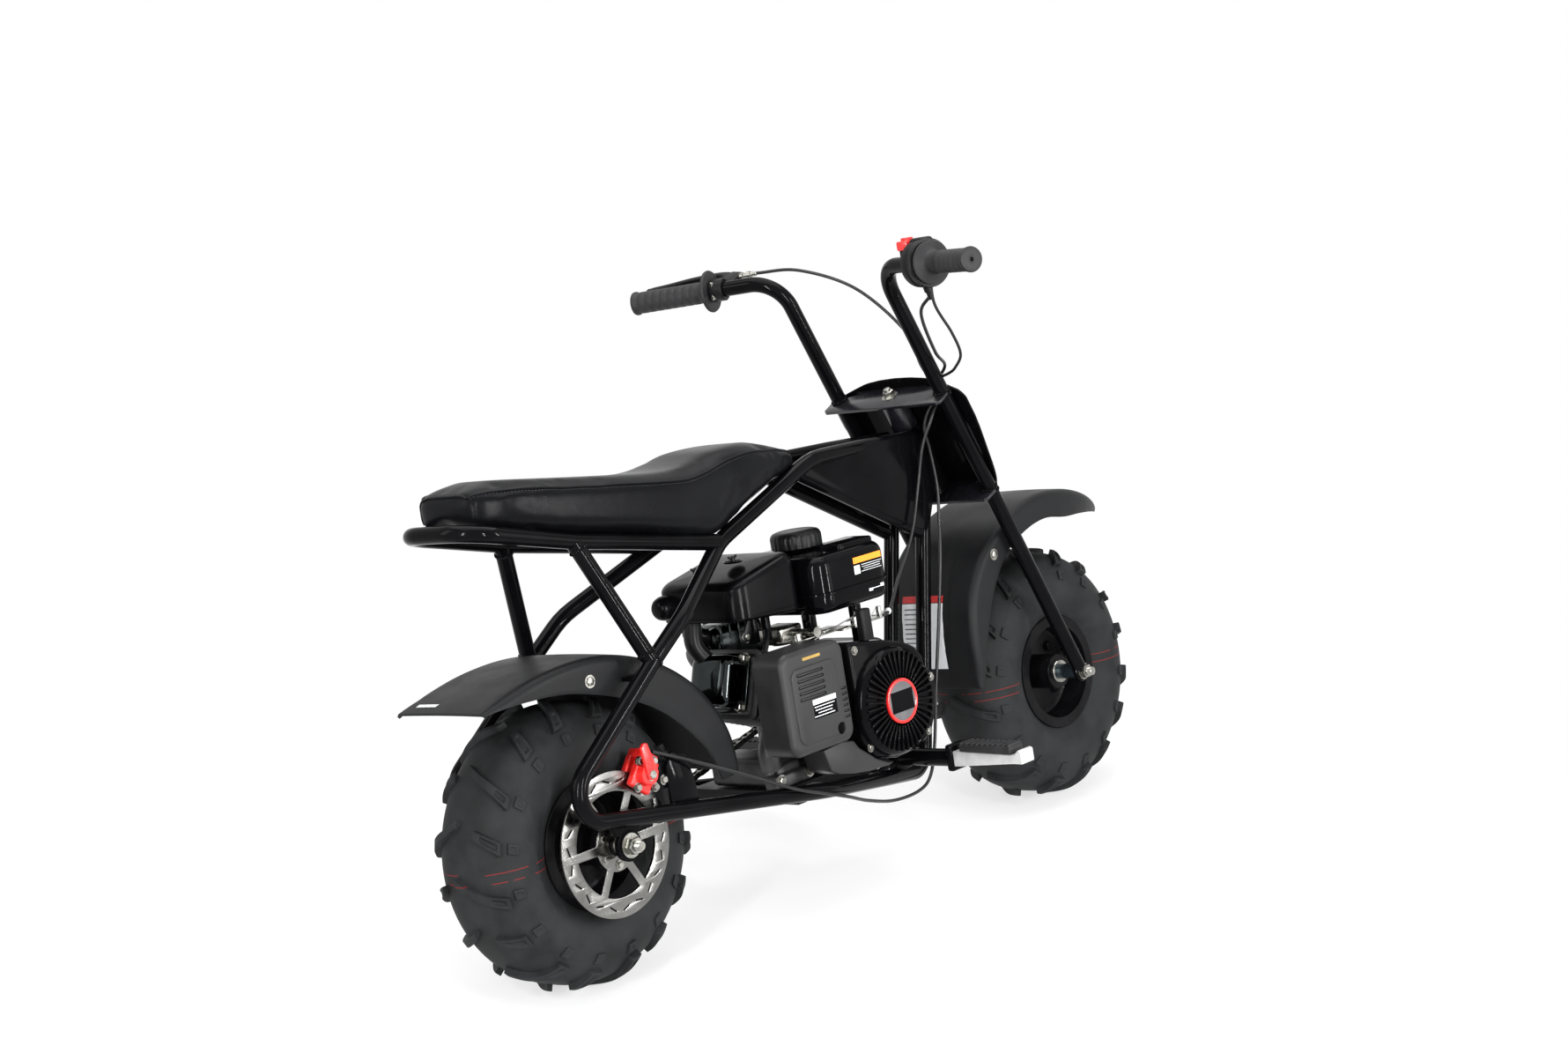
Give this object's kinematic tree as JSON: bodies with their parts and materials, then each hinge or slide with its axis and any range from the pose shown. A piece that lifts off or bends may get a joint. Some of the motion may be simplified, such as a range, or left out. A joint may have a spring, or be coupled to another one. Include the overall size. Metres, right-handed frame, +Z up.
{
  "type": "minibike",
  "caption": "Small off-road minibike with balloon tyres, black tube frame, open utility engine, padded seat, disc brake and side stand; wheels, steering and stand move.",
  "frame": {"origin": "centre of the bounding box on the floor", "axes": "+X forward, +Y to the rider's left, +Z up; the bike leans to +Y on its side stand"},
  "size_m": [1.3752, 0.7496, 0.9099],
  "materials": {
    "air_cleaner": "gloss black paint",
    "brake_cable_lower": "matte rubber",
    "brake_cable_upper": "matte rubber",
    "brake_caliper": "gloss red",
    "brake_disc": "brushed",
    "brake_lever": "matte black plastic",
    "carburettor": "zinc plated",
    "clutch": "brushed",
    "down_tube_left": "gloss black paint",
    "down_tube_right": "gloss black paint",
    "drive_chain": "brushed",
    "engine_case": "as cast",
    "engine_plate": "satin black",
    "footpeg_bar": "gloss black paint",
    "footpeg_left": "painted silver",
    "footpeg_right": "painted silver",
    "fork_leg_left": "gloss black paint",
    "fork_leg_right": "gloss black paint",
    "fork_stem": "gloss black paint",
    "front_axle": "zinc plated",
    "front_fender": "satin black",
    "front_rim": "satin black",
    "front_tyre": "matte rubber",
    "fuel_cap": "matte black plastic",
    "fuel_tank": "gloss black paint",
    "grip_left": "matte rubber",
    "grip_right": "matte rubber",
    "head_tube": "gloss black paint",
    "kill_switch": "gloss red",
    "lower_cover": "matte black plastic",
    "lower_rail_left": "gloss black paint",
    "lower_rail_right": "gloss black paint",
    "main_tube_left": "gloss black paint",
    "main_tube_right": "gloss black paint",
    "muffler": "dark chrome",
    "number_board": "satin black",
    "peg_pad_left": "matte rubber",
    "peg_pad_right": "matte rubber",
    "rear_axle": "zinc plated",
    "rear_fender": "satin black",
    "rear_rim": "satin black",
    "rear_sprocket": "brushed",
    "rear_tyre": "matte rubber",
    "rocker_cover": "dark chrome",
    "seat": "matte vinyl cover",
    "seat_hoop": "gloss black paint",
    "side_cover": "matte black plastic",
    "side_stand": "gloss black paint",
    "starter_badge": "gloss red",
    "starter_grip": "matte black plastic",
    "starter_housing": "gloss black paint",
    "strut_left": "gloss black paint",
    "strut_right": "gloss black paint",
    "throttle_cable_lower": "matte rubber",
    "throttle_cable_upper": "matte rubber",
    "throttle_housing": "matte black plastic"
  },
  "bodies": {
    "frame": {"air_cleaner": "air_cleaner", "brake_cable_lower": "brake_cable_lower", "brake_caliper": "brake_caliper", "carburettor": "carburettor", "clutch": "clutch", "down_tube_left": "down_tube_left", "down_tube_right": "down_tube_right", "drive_chain": "drive_chain", "engine_case": "engine_case", "engine_plate": "engine_plate", "footpeg_bar": "footpeg_bar", "footpeg_left": "footpeg_left", "footpeg_right": "footpeg_right", "fuel_cap": "fuel_cap", "fuel_tank": "fuel_tank", "head_tube": "head_tube", "lower_cover": "lower_cover", "lower_rail_left": "lower_rail_left", "lower_rail_right": "lower_rail_right", "main_tube_left": "main_tube_left", "main_tube_right": "main_tube_right", "muffler": "muffler", "peg_pad_left": "peg_pad_left", "peg_pad_right": "peg_pad_right", "rear_axle": "rear_axle", "rear_fender": "rear_fender", "rocker_cover": "rocker_cover", "seat": "seat", "seat_hoop": "seat_hoop", "side_cover": "side_cover", "starter_badge": "starter_badge", "starter_grip": "starter_grip", "starter_housing": "starter_housing", "strut_left": "strut_left", "strut_right": "strut_right", "throttle_cable_lower": "throttle_cable_lower"},
    "steering": {"fork_leg_left": "fork_leg_left", "fork_leg_right": "fork_leg_right", "fork_stem": "fork_stem", "number_board": "number_board", "grip_left": "grip_left", "grip_right": "grip_right", "throttle_housing": "throttle_housing", "kill_switch": "kill_switch", "brake_lever": "brake_lever", "front_fender": "front_fender", "front_axle": "front_axle", "brake_cable_upper": "brake_cable_upper", "throttle_cable_upper": "throttle_cable_upper"},
    "front_wheel": {"front_tyre": "front_tyre", "front_rim": "front_rim"},
    "rear_wheel": {"rear_tyre": "rear_tyre", "rear_rim": "rear_rim", "brake_disc": "brake_disc", "rear_sprocket": "rear_sprocket"},
    "side_stand": {"side_stand": "side_stand"}
  },
  "joints": [
    {"name": "steering", "type": "hinge", "parent": "frame", "child": "steering", "pos_m": [0.25977, 0.0125, 0.63552], "axis": [-0.4321, 0.1952, 0.8805], "range_deg": [-30, 30]},
    {"name": "front_wheel_spin", "type": "hinge", "parent": "steering", "child": "front_wheel", "pos_m": [0.4792, -0.08663, 0.18837], "axis": [0, 0.9763, -0.2164], "continuous": true},
    {"name": "rear_wheel_spin", "type": "hinge", "parent": "frame", "child": "rear_wheel", "pos_m": [-0.4978, -0.08663, 0.18837], "axis": [0, 0.9763, -0.2164], "continuous": true},
    {"name": "side_stand_fold", "type": "hinge", "parent": "frame", "child": "side_stand", "pos_m": [-0.1678, 0.03858, 0.09711], "axis": [0.0257, 0.6874, 0.7258], "range_deg": [0, 100]}
  ]
}
